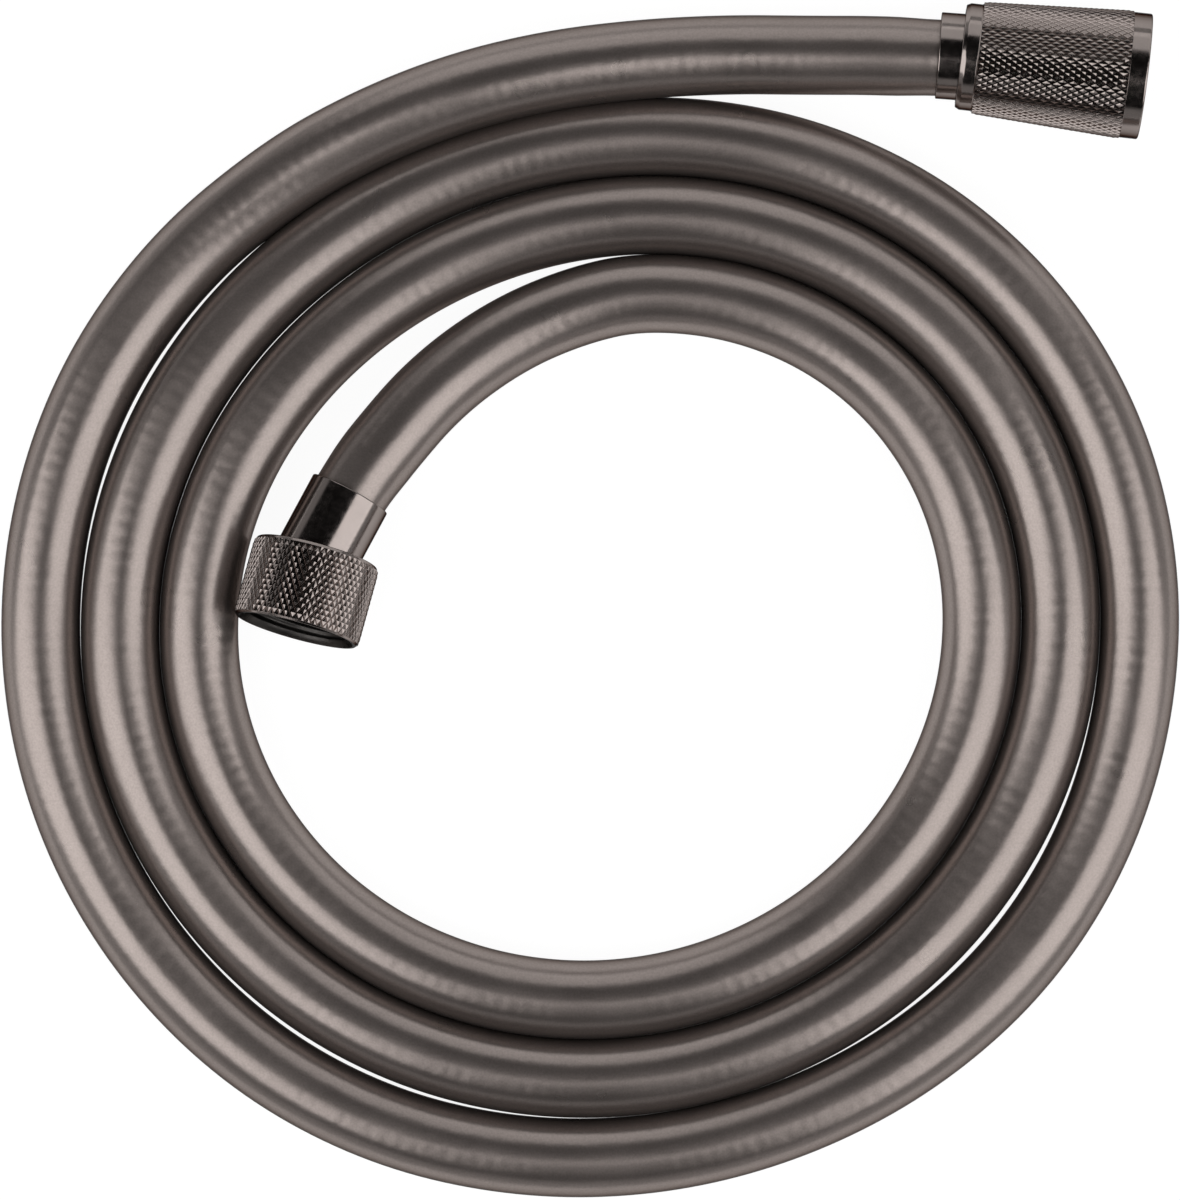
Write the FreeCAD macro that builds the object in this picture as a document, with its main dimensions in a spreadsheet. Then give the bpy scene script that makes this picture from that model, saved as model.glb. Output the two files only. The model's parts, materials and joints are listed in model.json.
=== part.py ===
import FreeCAD, Part
import math
import os
import Sketcher

# A coiled shower hose with a knurled union nut for the wall and a conical nut for the hand shower.
# Millimetres. +Z is up, the coil lies flat on z = 0, and the origin is under the middle of the coil.

SIZES = {
    # Hose, from the outside in
    "hose_diameter": 14.0,
    "braid_diameter": 11.0,
    "liner_diameter": 10.0,
    "hose_bore": 8.0,
    "hose_flat": 0.5,
    "hose_straight_end": 14.0,
    # Coil: a spiral that is a little oval, with a looser outer turn and an inner end drawn in
    "coil_centre_x": 4.2,
    "coil_centre_y": -5.0,
    "coil_first_radius": 105.8,
    "coil_pitch": 14.75,
    "coil_oval": 2.6,
    "coil_oval_angle": 21.0,
    "coil_trefoil": 0.45,
    "coil_trefoil_angle": 51.0,
    "coil_slack": 0.8,
    "coil_slack_from": 180.0,
    "coil_slack_to": 360.0,
    "coil_tuck": 1.0,
    "coil_tuck_from": 1130.0,
    "coil_from": 90.0,
    "coil_to": 1165.0,
    # The free stretch from the coil to the conical nut: its first run, and the distance from the
    # nut's sleeve back to its last bend
    "lead_first_run": 14.0,
    "lead_last_run": 15.0,
    # G1/2 thread
    "thread_minor_diameter": 18.63,
    "thread_relief_diameter": 21.2,
    # Wall end
    "wall_pivot_x": -49.7,
    "wall_pivot_y": 7.75,
    "wall_pivot_z": 12.05,
    "wall_hose_azimuth": 242.0,
    "wall_hose_elevation": 6.5,
    "wall_nut_azimuth": 255.05,
    "wall_nut_elevation": 9.5,
    "wall_nut_diameter": 23.4,
    "wall_nut_length": 14.7,
    "wall_nut_bevel": 0.4,
    "wall_collar_thickness": 1.6,
    "wall_collar_bore": 16.4,
    "wall_thread_from": 8.8,
    "wall_sleeve_diameter": 15.2,
    "wall_sleeve_length": 15.75,
    "wall_mouth_to_pivot": 13.15,
    "wall_flange_diameter": 17.8,
    "wall_flange_from": 16.2,
    "wall_flange_thickness": 1.2,
    "wall_seal_from": 7.1,
    "wall_seal_diameter": 19.2,
    # Shower end
    "shower_mouth_x": 63.4,
    "shower_mouth_y": 99.4,
    "shower_azimuth": -6.8,
    "shower_sleeve_diameter": 15.7,
    "shower_sleeve_length": 16.0,
    "shower_nut_from": 4.0,
    "shower_nut_length": 33.6,
    "shower_nut_rear_band": 3.2,
    "shower_nut_front_band": 3.4,
    "shower_nut_rear_diameter": 19.4,
    "shower_knurl_rear_diameter": 20.4,
    "shower_knurl_front_diameter": 23.3,
    "shower_nut_front_diameter": 22.8,
    "shower_nut_round": 0.9,
    "shower_collar_bore": 16.4,
    "shower_collar_thickness": 2.4,
    "shower_cavity_diameter": 17.4,
    "shower_shoulder_from": 22.5,
    "shower_shoulder_to": 24.0,
    "shower_thread_from": 28.6,
    "shower_flange_diameter": 17.8,
    "shower_flange_from": 24.9,
    "shower_flange_thickness": 1.3,
    "shower_seal_diameter": 18.2,
    "slip_ring_bore": 16.5,
    "slip_ring_diameter": 20.6,
    "slip_ring_thickness": 0.6,
    "slip_ring_gap": 0.1,
    # Both hose ends
    "sleeve_wall": 0.5,
    "sleeve_round": 0.25,
    "sleeve_lip": 1.2,
    "crimp_wall": 0.5,
    "crimp_from": 1.2,
    "hose_depth": 13.6,
    "neck_diameter": 12.4,
    "barb_diameter": 8.0,
    "barb_root_diameter": 7.3,
    "barb_pitch": 2.2,
    "barb_from": 1.6,
    "water_bore": 6.0,
    "seal_bore": 11.0,
    "seal_thickness": 1.6,
    "mouth_bevel": 0.5,
    # Anti-twist swivel
    "socket_from": 16.2,
    "socket_to": 22.6,
    "socket_diameter": 14.8,
    "socket_bore": 10.0,
    "socket_floor": 16.4,
    "stem_clearance": 0.05,
    "stem_end_gap": 0.2,
    "stem_neck_diameter": 12.0,
    "stem_neck_from": 23.2,
    "swivel_washer_bore": 10.1,
    "swivel_washer_diameter": 14.0,
    "swivel_washer_thickness": 0.5,
    "swivel_washer_gap": 0.05,
    "o_ring_section": 1.2,
    "o_ring_diameter": 9.96,
    "o_ring_groove_diameter": 7.54,
    "o_ring_groove_width": 1.5,
    "o_ring_rear_at": 17.7,
    "o_ring_front_at": 19.6,
    "snap_ring_at": 21.4,
    "snap_ring_section": 0.8,
    "snap_ring_diameter": 10.8,
    "snap_ring_angle": 325.0,
    "snap_groove_diameter": 11.0,
    "snap_groove_width": 1.0,
    "snap_stem_groove_diameter": 8.9,
}

FULL_TURN = 360.0
COIL_SPANS = 12
BARBS = 5
GAP_STEP = 1.5
FLOOR_SLAB = 400.0
CUT_MARGIN = 1.0
ARC_SHARE = 0.45

document = FreeCAD.newDocument("ShowerHose")


class Term:
    """A size worked out from the sheet: its value now, and the expression that keeps it so."""

    def __init__(self, value, text):
        self.value = value
        self.text = text

    def joined(self, sign, other, value):
        return Term(value, f"({self.text} {sign} {term(other).text})")

    def __add__(self, other):
        return self.joined("+", other, self.value + term(other).value)

    def __sub__(self, other):
        return self.joined("-", other, self.value - term(other).value)

    def __mul__(self, other):
        return self.joined("*", other, self.value * term(other).value)

    def __truediv__(self, other):
        return self.joined("/", other, self.value / term(other).value)


def term(value):
    return value if isinstance(value, Term) else Term(float(value), repr(float(value)))


def size(alias):
    return Term(SIZES[alias], f"Sizes.{alias}")


def radius(alias):
    return size(alias) / 2


def make_sheet():
    sheet = document.addObject("Spreadsheet::Sheet", "Sizes")
    for row, (alias, value) in enumerate(SIZES.items(), start=1):
        sheet.set(f"A{row}", alias.replace("_", " "))
        sheet.set(f"B{row}", str(value))
        sheet.setAlias(f"B{row}", alias)
    document.recompute()


# Turned pieces. A profile lists (radius, distance along the axis) corners, and is turned about Z.


def turning_plane(body):
    return next(f for f in body.Origin.OriginFeatures if f.Role == "XZ_Plane")


def profile_sketch(body):
    sketch = body.newObject("Sketcher::SketchObject", body.Name + "_profile")
    sketch.AttachmentSupport = [(turning_plane(body), "")]
    sketch.MapMode = "FlatFace"
    return sketch


def pin_point(sketch, geometry, position, across, along):
    """Ties one point of a sketch to its place by two sizes."""
    for kind, at in (("DistanceX", across), ("DistanceY", along)):
        if at.value == 0.0:
            sketch.addConstraint(Sketcher.Constraint("PointOnObject", geometry, position, -1))
            continue
        index = sketch.addConstraint(
            Sketcher.Constraint(kind, -1, 1, geometry, position, at.value)
        )
        sketch.setExpression(f"Constraints[{index}]", at.text)


def revolve(body, sketch, angle):
    turning = body.newObject("PartDesign::Revolution", body.Name + "_turning")
    turning.Profile = sketch
    turning.ReferenceAxis = (sketch, ["V_Axis"])
    turning.Angle = angle.value
    turning.setExpression("Angle", angle.text)


def turned(name, corners, placement):
    """A body turned about its Z axis from a closed profile of straight lines."""
    body = document.addObject("PartDesign::Body", name)
    body.Label = name
    sketch = profile_sketch(body)
    corners = [(term(across), term(along)) for across, along in corners]
    count = len(corners)
    for i, (across, along) in enumerate(corners):
        end = corners[(i + 1) % count]
        sketch.addGeometry(
            Part.LineSegment(
                FreeCAD.Vector(across.value, along.value, 0),
                FreeCAD.Vector(end[0].value, end[1].value, 0),
            )
        )
    for i in range(count):
        sketch.addConstraint(Sketcher.Constraint("Coincident", i, 2, (i + 1) % count, 1))
    for i, (across, along) in enumerate(corners):
        pin_point(sketch, i, 1, across, along)
    revolve(body, sketch, term(FULL_TURN))
    body.Placement = placement
    document.recompute()
    return body


def round_edges(body, rounding, chosen):
    """Rounds the circular edges of a turned body for which chosen(radius, along) is true."""
    tip = body.Tip
    names = []
    for i, edge in enumerate(tip.Shape.Edges, start=1):
        curve = edge.Curve
        if isinstance(curve, Part.Circle) and chosen(curve.Radius, curve.Center.z):
            names.append(f"Edge{i}")
    fillet = body.newObject("PartDesign::Fillet", body.Name + "_rounding")
    fillet.Base = (tip, names)
    fillet.Radius = rounding.value
    fillet.setExpression("Radius", rounding.text)
    document.recompute()


def ring_of_wire(name, section, outer_radius, along, angle, placement):
    """A ring of round section, such as an O-ring: section is its thickness."""
    body = document.addObject("PartDesign::Body", name)
    body.Label = name
    sketch = profile_sketch(body)
    middle = outer_radius - section / 2
    centre = FreeCAD.Vector(middle.value, along.value, 0)
    sketch.addGeometry(Part.Circle(centre, FreeCAD.Vector(0, 0, 1), section.value / 2))
    pin_point(sketch, 0, 3, middle, along)
    index = sketch.addConstraint(Sketcher.Constraint("Radius", 0, section.value / 2))
    sketch.setExpression(f"Constraints[{index}]", (section / 2).text)
    revolve(body, sketch, angle)
    body.Placement = placement
    document.recompute()


# Places


def direction(azimuth, elevation):
    turn, rise = math.radians(azimuth), math.radians(elevation)
    return FreeCAD.Vector(
        math.cos(rise) * math.cos(turn), math.cos(rise) * math.sin(turn), math.sin(rise)
    )


def facing(base, axis):
    """A placement at base whose Z axis points along axis."""
    return FreeCAD.Placement(base, FreeCAD.Rotation(FreeCAD.Vector(0, 0, 1), axis))


def value(alias):
    return float(document.Sizes.get(alias))


def hose_height():
    return value("hose_diameter") / 2 - value("hose_flat")


def knurl_length():
    bands = value("shower_nut_rear_band") + value("shower_nut_front_band")
    return value("shower_nut_length") - bands


def shower_elevation():
    """The tilt at which the conical nut lies on its side on the floor."""
    growth = value("shower_knurl_front_diameter") - value("shower_knurl_rear_diameter")
    return math.degrees(math.atan(growth / 2 / knurl_length()))


def shower_place():
    """The conical nut's frame: its origin is where the hose enters the sleeve."""
    axis = direction(value("shower_azimuth"), shower_elevation())
    knurl_from = value("shower_nut_from") + value("shower_nut_rear_band")
    axis_height = value("shower_knurl_rear_diameter") / 2 / math.cos(math.asin(axis.z))
    height = axis_height - knurl_from * axis.z
    return facing(FreeCAD.Vector(value("shower_mouth_x"), value("shower_mouth_y"), height), axis)


def wall_pivot():
    return FreeCAD.Vector(value("wall_pivot_x"), value("wall_pivot_y"), value("wall_pivot_z"))


def wall_place():
    """The wall end's frame: its origin is where the hose enters the sleeve."""
    axis = direction(value("wall_hose_azimuth"), value("wall_hose_elevation"))
    return facing(wall_pivot() - axis * value("wall_mouth_to_pivot"), axis)


def wall_nut_place():
    """The union nut's frame: its origin is in its rear face, and it hangs aslant on the sleeve."""
    axis = direction(value("wall_nut_azimuth"), value("wall_nut_elevation"))
    return facing(wall_pivot() - axis * (value("wall_collar_thickness") / 2), axis)


def axis_of(place):
    return place.Rotation.multVec(FreeCAD.Vector(0, 0, 1))


# The route of the hose


def bump(angle, start, end):
    if not start < angle < end:
        return 0.0
    return math.sin(math.pi * (angle - start) / (end - start)) ** 2


def coil_radius(angle):
    """The coil's radius at an angle in degrees that grows from turn to turn, inwards."""
    oval = value("coil_oval") * math.cos(math.radians(2 * (angle - value("coil_oval_angle"))))
    trefoil_turn = math.radians(3 * (angle - value("coil_trefoil_angle")))
    trefoil = value("coil_trefoil") * math.cos(trefoil_turn)
    slack = value("coil_slack") * bump(angle, value("coil_slack_from"), value("coil_slack_to"))
    tucked = (angle - value("coil_tuck_from")) / (value("coil_to") - value("coil_tuck_from"))
    tuck = value("coil_tuck") * max(0.0, tucked) ** 2
    wound = value("coil_pitch") * (angle - value("coil_from")) / 360
    return value("coil_first_radius") - wound + oval + trefoil + slack - tuck


def coil_point(angle):
    turn = math.radians(angle)
    across = value("coil_centre_x") + coil_radius(angle) * math.cos(turn)
    up = value("coil_centre_y") + coil_radius(angle) * math.sin(turn)
    return FreeCAD.Vector(across, up, hose_height())


def coil_heading(angle):
    step = 0.01
    ahead = coil_point(angle + step) - coil_point(angle - step)
    return ahead.normalize()


def arc_from(start, heading, end):
    """The arc that leaves start along heading and ends at end."""
    chord = end - start
    inward = chord - heading * chord.dot(heading)
    inward.normalize()
    arc_radius = chord.dot(chord) / (2 * inward.dot(chord))
    centre = start + inward * arc_radius
    middle = (start + end) * 0.5 - centre
    middle.normalize()
    return Part.Arc(start, centre + middle * arc_radius, end), arc_radius


def biarc(start, start_heading, end, end_heading):
    """Two tangent arcs from one point and heading to another."""
    chord = end - start
    both = start_heading + end_heading
    spread = 2 * (1 - start_heading.dot(end_heading))
    along = chord.dot(both)
    reach = (math.sqrt(along * along + spread * chord.dot(chord)) - along) / spread
    joint = (start + start_heading * reach + end - end_heading * reach) * 0.5
    middle = end - end_heading * reach - start - start_heading * reach
    middle.normalize()
    first, first_radius = arc_from(start, start_heading, joint)
    second, second_radius = arc_from(joint, middle, end)
    return [first.toShape(), second.toShape()], [first_radius, second_radius]


def line(start, end):
    return Part.LineSegment(start, end).toShape()


def coil_edges():
    """The coil: a straight end, the turns by quarter-turn biarcs, then the arc up to the wall end."""
    first = coil_point(value("coil_from"))
    outer_end = first - coil_heading(value("coil_from")) * value("hose_straight_end")
    edges = [line(outer_end, first)]
    radii = []
    span = (value("coil_to") - value("coil_from")) / COIL_SPANS
    for i in range(COIL_SPANS):
        here = value("coil_from") + i * span
        there = here + span
        pair, bends = biarc(
            coil_point(here), coil_heading(here), coil_point(there), coil_heading(there)
        )
        edges += pair
        radii += bends
    mouth = wall_place().Base
    axis = axis_of(wall_place())
    end = mouth + axis * value("hose_depth")
    straight_from = end - axis * value("hose_straight_end")
    last = value("coil_to")
    pair, bends = biarc(coil_point(last), coil_heading(last), straight_from, axis)
    edges += pair
    radii += bends
    edges.append(line(straight_from, end))
    return edges, radii


def lead_edges():
    """The free stretch: straight runs joined by tangent arcs, from the conical nut to the coil."""
    first = coil_point(value("coil_from"))
    ahead = coil_heading(value("coil_from"))
    coil_end = first - ahead * value("hose_straight_end")
    place = shower_place()
    axis = axis_of(place)
    route = [
        place.Base + axis * value("hose_depth"),
        place.Base - axis * value("lead_last_run"),
        coil_end - ahead * value("lead_first_run"),
        coil_end,
    ]
    edges = []
    radii = []
    here = route[0]
    for before, corner, after in zip(route, route[1:], route[2:]):
        inward = before - corner
        outward = after - corner
        reach = ARC_SHARE * min(inward.Length, outward.Length)
        inward.normalize()
        outward.normalize()
        half_turn = (math.pi - inward.getAngle(outward)) / 2
        bend = reach / math.tan(half_turn)
        to_centre = (inward + outward).normalize()
        centre = corner + to_centre * (bend / math.cos(half_turn))
        start = corner + inward * reach
        end = corner + outward * reach
        edges.append(line(here, start))
        edges.append(Part.Arc(start, centre - to_centre * bend, end).toShape())
        radii.append(bend)
        here = end
    edges.append(line(here, route[-1]))
    return edges, radii


# The hose's layers


def swept(edges, diameter):
    """A solid of round section along the route."""
    start = edges[0].FirstParameter
    section = Part.Circle(edges[0].valueAt(start), edges[0].tangentAt(start), diameter / 2)
    return Part.Wire(edges).makePipeShell([Part.Wire([section.toShape()])], True, False)


def hose_layer(edges, outer_diameter, inner_diameter):
    return swept(edges, outer_diameter).cut(swept(edges, inner_diameter))


def add_shape(name, shape):
    feature = document.addObject("Part::Feature", name)
    feature.Label = name
    feature.Shape = shape
    feature.Placement = FreeCAD.Placement()


def crimped_end(place):
    """The ring of jacket that the crimp presses away inside a sleeve."""
    axis = axis_of(place)
    start = place.Base + axis * value("crimp_from")
    outer = value("hose_diameter") / 2
    depth = value("hose_depth")
    blank = Part.makeCylinder(outer + CUT_MARGIN, depth, start, axis)
    return blank.cut(Part.makeCylinder(outer - crimp_squeeze(), depth, start, axis))


def crimp_squeeze():
    """How much the crimp ring narrows the hose: the sleeve leaves it that much less room."""
    inside = value("wall_sleeve_diameter") / 2 - value("sleeve_wall") - value("crimp_wall")
    return value("hose_diameter") / 2 - inside


def make_hose():
    coil, coil_radii = coil_edges()
    lead, lead_radii = lead_edges()
    jacket = (value("hose_diameter"), value("braid_diameter"))
    corner = FreeCAD.Vector(-FLOOR_SLAB / 2, -FLOOR_SLAB / 2, -FLOOR_SLAB)
    below_floor = Part.makeBox(FLOOR_SLAB, FLOOR_SLAB, FLOOR_SLAB, corner)
    pieces = (
        ("hose_jacket_coil", coil, wall_place()),
        ("hose_jacket_lead", lead, shower_place()),
    )
    for name, edges, place in pieces:
        tube = hose_layer(edges, *jacket)
        report_volume(name, tube, edges, *jacket)
        add_shape(name, tube.cut(crimped_end(place)).cut(below_floor))
    whole = lead + coil
    layers = (
        ("hose_braid", value("braid_diameter"), value("liner_diameter")),
        ("hose_liner", value("liner_diameter"), value("hose_bore")),
    )
    for name, outer, inner in layers:
        tube = hose_layer(whole, outer, inner)
        report_volume(name, tube, whole, outer, inner)
        add_shape(name, tube)
    print("bend radii of the coil", [round(r, 1) for r in coil_radii])
    print("bend radii of the free stretch", [round(r, 1) for r in lead_radii])
    report_gap(whole)


def route_length(edges):
    return sum(edge.Length for edge in edges)


def report_volume(name, solid, edges, outer, inner):
    length = route_length(edges)
    share = solid.Volume / (math.pi * (outer**2 - inner**2) / 4 * length)
    print(f"{name}: length {length:.1f}, volume {share:.4f} of section times length")


def report_gap(edges):
    """Prints the least gap between the hose and itself, measured on points along its route."""
    points = []
    for edge in edges:
        steps = max(2, round(edge.Length / GAP_STEP))
        points += edge.discretize(steps + 1)[:-1]
    apart = round(math.pi * value("coil_first_radius") / 2 / GAP_STEP)
    least = min(
        points[i].distanceToPoint(points[j])
        for i in range(len(points) - apart)
        for j in range(i + apart, len(points))
    )
    print(f"least gap of the hose to itself {least - value('hose_diameter'):.2f}")
    print(f"length of hose {route_length(edges):.0f}")


# The metal pieces and seals


def make_sleeve(name, outer, length, place):
    """A smooth sleeve over the hose end, with a lip at its front that grips the insert's neck."""
    outside = radius(outer)
    inside = outside - size("sleeve_wall")
    neck = radius("neck_diameter")
    lip_from = size(length) - size("sleeve_lip")
    body = turned(
        name,
        [
            (inside, 0),
            (outside, 0),
            (outside, size(length)),
            (neck, size(length)),
            (neck, lip_from),
            (inside, lip_from),
        ],
        place,
    )
    round_edges(
        body, size("sleeve_round"), lambda r, along: r > outside.value - 0.01 and along < 0.01
    )


def make_crimp_ring(name, sleeve, place):
    outside = radius(sleeve) - size("sleeve_wall")
    inside = radius("wall_sleeve_diameter") - size("sleeve_wall") - size("crimp_wall")
    start = size("crimp_from")
    end = size("hose_depth")
    turned(name, [(inside, start), (outside, start), (outside, end), (inside, end)], place)


def barb_corners(bore):
    """The barbed shank from the bore out, up to where the neck starts."""
    start = size("barb_from")
    corners = [(bore, start), (radius("barb_root_diameter"), start)]
    for i in range(BARBS):
        tooth = start + size("barb_pitch") * (i + 1)
        corners.append((radius("barb_diameter"), tooth))
        corners.append((radius("barb_root_diameter"), tooth))
    return corners


def make_wall_insert(place):
    bore = radius("water_bore")
    neck = radius("neck_diameter")
    flange = radius("wall_flange_diameter")
    flange_from = size("wall_flange_from")
    front = flange_from + size("wall_flange_thickness")
    corners = barb_corners(bore) + [
        (radius("barb_root_diameter"), size("hose_depth")),
        (neck, size("hose_depth")),
        (neck, flange_from),
        (flange, flange_from),
        (flange, front),
        (bore, front),
    ]
    turned("wall_insert", corners, place)


def make_shower_insert(place):
    bore = radius("water_bore")
    neck = radius("neck_diameter")
    socket = radius("socket_bore")
    groove = radius("snap_groove_diameter")
    groove_from = size("snap_ring_at") - size("snap_groove_width") / 2
    groove_to = size("snap_ring_at") + size("snap_groove_width") / 2
    corners = barb_corners(bore) + [
        (radius("barb_root_diameter"), size("hose_depth")),
        (neck, size("hose_depth")),
        (neck, size("socket_from")),
        (radius("socket_diameter"), size("socket_from")),
        (radius("socket_diameter"), size("socket_to")),
        (socket, size("socket_to")),
        (socket, groove_to),
        (groove, groove_to),
        (groove, groove_from),
        (socket, groove_from),
        (socket, size("socket_floor")),
        (bore, size("socket_floor")),
    ]
    turned("shower_insert", corners, place)


def groove_corners(at, width, spigot, floor):
    return [
        (spigot, at - width / 2),
        (floor, at - width / 2),
        (floor, at + width / 2),
        (spigot, at + width / 2),
    ]


def make_stem(place):
    bore = radius("water_bore")
    spigot = radius("socket_bore") - size("stem_clearance")
    neck = radius("stem_neck_diameter")
    flange = radius("shower_flange_diameter")
    start = size("socket_floor") + size("stem_end_gap")
    flange_from = size("shower_flange_from")
    front = flange_from + size("shower_flange_thickness")
    corners = [(bore, start), (spigot, start)]
    for at in ("o_ring_rear_at", "o_ring_front_at"):
        corners += groove_corners(
            size(at), size("o_ring_groove_width"), spigot, radius("o_ring_groove_diameter")
        )
    corners += groove_corners(
        size("snap_ring_at"), size("snap_groove_width"), spigot, radius("snap_stem_groove_diameter")
    )
    corners += [
        (spigot, size("stem_neck_from")),
        (neck, size("stem_neck_from")),
        (neck, flange_from),
        (flange, flange_from),
        (flange, front),
        (bore, front),
    ]
    turned("swivel_stem", corners, place)


def make_o_ring(name, at, place):
    ring_of_wire(
        name,
        size("o_ring_section"),
        radius("o_ring_diameter"),
        size(at),
        term(FULL_TURN),
        place,
    )


def make_snap_ring(place):
    """The wire ring in the socket's groove, open at one side so that it springs in."""
    ring_of_wire(
        "swivel_snap_ring",
        size("snap_ring_section"),
        radius("snap_ring_diameter"),
        size("snap_ring_at"),
        size("snap_ring_angle"),
        place,
    )


def make_washer(name, start, thickness, bore, outside, place):
    end = start + thickness
    turned(name, [(bore, start), (outside, start), (outside, end), (bore, end)], place)


def make_wall_nut(place):
    outside = radius("wall_nut_diameter")
    bevel = size("wall_nut_bevel")
    length = size("wall_nut_length")
    thread = radius("thread_minor_diameter")
    relief = radius("thread_relief_diameter")
    mouth = size("mouth_bevel")
    corners = [
        (radius("wall_collar_bore"), 0),
        (outside - bevel, 0),
        (outside, bevel),
        (outside, length - bevel),
        (outside - bevel, length),
        (thread + mouth, length),
        (thread, length - mouth),
        (thread, size("wall_thread_from")),
        (relief, size("wall_thread_from")),
        (relief, size("wall_collar_thickness")),
        (radius("wall_collar_bore"), size("wall_collar_thickness")),
    ]
    turned("wall_nut", corners, place)


def make_shower_nut(place):
    start = size("shower_nut_from")
    end = start + size("shower_nut_length")
    knurl_from = start + size("shower_nut_rear_band")
    knurl_to = end - size("shower_nut_front_band")
    thread = radius("thread_minor_diameter")
    relief = radius("thread_relief_diameter")
    collar = radius("shower_collar_bore")
    collar_to = start + size("shower_collar_thickness")
    cavity = radius("shower_cavity_diameter")
    shoulder = radius("slip_ring_bore")
    mouth = size("mouth_bevel")
    rear = radius("shower_nut_rear_diameter")
    corners = [
        (collar, start),
        (rear, start),
        (rear, knurl_from),
        (radius("shower_knurl_rear_diameter"), knurl_from),
        (radius("shower_knurl_front_diameter"), knurl_to),
        (radius("shower_nut_front_diameter"), knurl_to),
        (radius("shower_nut_front_diameter"), end),
        (thread + mouth, end),
        (thread, end - mouth),
        (thread, size("shower_thread_from")),
        (relief, size("shower_thread_from")),
        (relief, size("shower_shoulder_to")),
        (shoulder, size("shower_shoulder_to")),
        (shoulder, size("shower_shoulder_from")),
        (cavity, size("shower_shoulder_from")),
        (cavity, collar_to),
        (collar, collar_to),
    ]
    body = turned("shower_nut", corners, place)
    round_edges(
        body,
        size("shower_nut_round"),
        lambda r, along: abs(r - rear.value) < 0.01 and abs(along - start.value) < 0.01,
    )


def make_wall_end():
    place = wall_place()
    nut_place = wall_nut_place()
    make_sleeve("wall_sleeve", "wall_sleeve_diameter", "wall_sleeve_length", place)
    make_crimp_ring("wall_crimp_ring", "wall_sleeve_diameter", place)
    make_wall_insert(place)
    make_washer(
        "wall_seal",
        size("wall_seal_from"),
        size("seal_thickness"),
        radius("seal_bore"),
        radius("wall_seal_diameter"),
        nut_place,
    )
    make_wall_nut(nut_place)


def make_shower_end():
    place = shower_place()
    make_sleeve("shower_sleeve", "shower_sleeve_diameter", "shower_sleeve_length", place)
    make_crimp_ring("shower_crimp_ring", "shower_sleeve_diameter", place)
    make_shower_insert(place)
    make_stem(place)
    make_o_ring("swivel_o_ring_rear", "o_ring_rear_at", place)
    make_o_ring("swivel_o_ring_front", "o_ring_front_at", place)
    make_snap_ring(place)
    make_washer(
        "swivel_washer",
        size("socket_to") + size("swivel_washer_gap"),
        size("swivel_washer_thickness"),
        radius("swivel_washer_bore"),
        radius("swivel_washer_diameter"),
        place,
    )
    make_washer(
        "shower_slip_ring",
        size("shower_shoulder_to") + size("slip_ring_gap"),
        size("slip_ring_thickness"),
        radius("slip_ring_bore"),
        radius("slip_ring_diameter"),
        place,
    )
    make_washer(
        "shower_seal",
        size("shower_flange_from") + size("shower_flange_thickness"),
        size("seal_thickness"),
        radius("seal_bore"),
        radius("shower_seal_diameter"),
        place,
    )
    make_shower_nut(place)


def sub_parts():
    kinds = ("PartDesign::Body", "Part::Feature")
    return [o for o in document.Objects if o.TypeId in kinds and o.Label == o.Name]


def check_document():
    """Stops if any object failed, or any sub-part isn't a valid solid."""
    for thing in document.Objects:
        if "Invalid" in thing.State or "Error" in thing.State:
            raise RuntimeError(f"{thing.Name} failed: {thing.State}")
    for piece in sub_parts():
        shape = piece.Shape
        if shape.isNull() or not shape.isValid() or len(shape.Solids) != 1:
            raise RuntimeError(f"{piece.Label} is not one valid solid")


def export_parts():
    os.makedirs("parts", exist_ok=True)
    for piece in sub_parts():
        piece.Shape.exportStep(os.path.join("parts", piece.Label + ".step"))
    print("sub-parts", len(sub_parts()))


make_sheet()
make_hose()
make_wall_end()
make_shower_end()
document.recompute()
check_document()
export_parts()
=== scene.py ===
import json
import math

import bmesh
import bpy
from mathutils import Matrix, Quaternion, Vector


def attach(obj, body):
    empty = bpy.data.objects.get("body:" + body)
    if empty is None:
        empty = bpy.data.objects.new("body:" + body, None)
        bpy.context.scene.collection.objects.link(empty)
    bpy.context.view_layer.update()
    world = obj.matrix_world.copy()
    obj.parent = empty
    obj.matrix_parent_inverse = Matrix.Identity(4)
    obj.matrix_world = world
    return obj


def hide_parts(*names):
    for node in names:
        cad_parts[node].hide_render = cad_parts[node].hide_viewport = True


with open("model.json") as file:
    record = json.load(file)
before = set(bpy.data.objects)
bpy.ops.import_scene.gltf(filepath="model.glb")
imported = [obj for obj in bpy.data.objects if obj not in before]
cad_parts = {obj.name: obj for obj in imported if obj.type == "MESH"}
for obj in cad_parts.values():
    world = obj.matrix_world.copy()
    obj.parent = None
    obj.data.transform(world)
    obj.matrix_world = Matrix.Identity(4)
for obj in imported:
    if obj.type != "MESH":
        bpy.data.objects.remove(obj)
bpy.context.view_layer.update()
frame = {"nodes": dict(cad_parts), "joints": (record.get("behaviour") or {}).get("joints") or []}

# Lengths are in metres, those on the hose as millimetres times MM, unless a comment calls them
# plain millimetres

MM = 0.001
FULL_TURN = 2 * math.pi

# Places that the frame gives


def joint_named(name):
    return next(joint for joint in frame["joints"] if joint["name"] == name)


def direction(azimuth, elevation):
    """The unit vector at an azimuth from +X and an elevation above the floor, in degrees."""
    level = math.cos(math.radians(elevation))
    x = level * math.cos(math.radians(azimuth))
    y = level * math.sin(math.radians(azimuth))
    return Vector((x, y, math.sin(math.radians(elevation))))


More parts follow.
